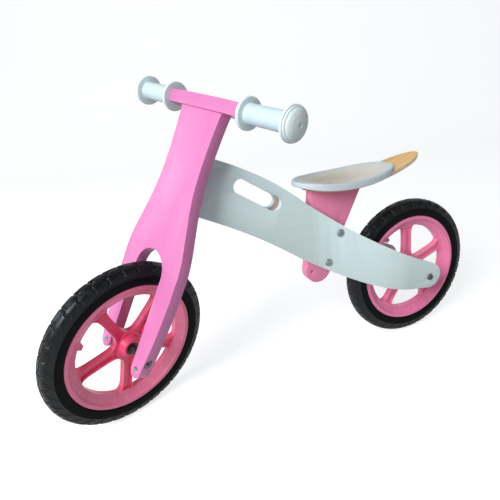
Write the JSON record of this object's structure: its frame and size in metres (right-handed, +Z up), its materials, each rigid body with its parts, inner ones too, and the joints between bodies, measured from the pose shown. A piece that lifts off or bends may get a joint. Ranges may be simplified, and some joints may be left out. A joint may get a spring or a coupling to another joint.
{
  "type": "balance bike",
  "caption": "Child's pedal-less balance bike: bent wooden side plates, dished seat on a post, wide forked steerer with padded grips, and spoked wheels on foam tyres.",
  "frame": {"origin": "on the floor, under the middle of the whole bike's outline seen from above", "axes": "+X forward, from the rear wheel to the front wheel; +Y to the rider's left; +Z up"},
  "size_m": [0.853, 0.3478, 0.5543],
  "materials": {
    "grey_lacquer": "satin pale blue-grey lacquer over bent plywood, faint grain, layered edges",
    "birch_ply": "bare plywood core gone greyish brown, layered edge",
    "bent_ply": "clear-varnished bent plywood, warm tan",
    "pink_lacquer": "satin bright pink lacquer over plywood",
    "pink_plastic": "glossy moulded pink plastic",
    "seat_foam": "matt off-white dense foam pad",
    "grip_rubber": "matt off-white soft rubber",
    "eva_tyre": "matt black foam, low fine tread",
    "black_nylon": "black moulded nylon",
    "zinc_steel": "zinc-plated steel"
  },
  "bodies": {
    "frame": {"side_plate_left": "grey_lacquer", "side_plate_right": "grey_lacquer", "core_block": "birch_ply", "head_bushes": "black_nylon", "plate_screws": "zinc_steel", "seat_post": "pink_lacquer", "post_bolts": "zinc_steel", "post_nuts": "zinc_steel", "post_spacers": "black_nylon", "seat_base": "bent_ply", "seat_pad": "seat_foam", "seat_screws": "zinc_steel", "rear_axle": "zinc_steel", "rear_axle_nut": "zinc_steel", "rear_axle_washers": "zinc_steel", "rear_spacers": "black_nylon"},
    "steering": {"fork_board": "pink_lacquer", "crossbar": "pink_lacquer", "crossbar_screws": "zinc_steel", "handlebar_rods": "zinc_steel", "grip_left": "grip_rubber", "grip_right": "grip_rubber", "grip_caps": "grip_rubber", "cap_screws": "zinc_steel", "pivot_rod": "zinc_steel", "pivot_nut": "zinc_steel", "fork_brackets": "zinc_steel", "bracket_screws": "zinc_steel", "leg_screws": "zinc_steel", "front_axle": "zinc_steel", "front_axle_nut": "zinc_steel", "front_spacers": "black_nylon"},
    "front_wheel": {"front_rim": "pink_plastic", "front_tyre": "eva_tyre", "front_bearings": "black_nylon"},
    "rear_wheel": {"rear_rim": "pink_plastic", "rear_tyre": "eva_tyre", "rear_bearings": "black_nylon"}
  },
  "joints": [
    {"name": "steering", "type": "hinge", "parent": "frame", "child": "steering", "pos_m": [0.15259, -0.00722, 0.38275], "axis": [-0.4274, 0, 0.9041], "range_deg": [-61.4, 18.6]},
    {"name": "front_wheel_spin", "type": "hinge", "parent": "steering", "child": "front_wheel", "pos_m": [0.29101, 0.00128, 0.14069], "axis": [-0.3299, 0.9311, -0.1559], "continuous": true},
    {"name": "rear_wheel_spin", "type": "hinge", "parent": "frame", "child": "rear_wheel", "pos_m": [-0.28454, -0.00722, 0.142], "axis": [0, 1, 0], "continuous": true}
  ]
}
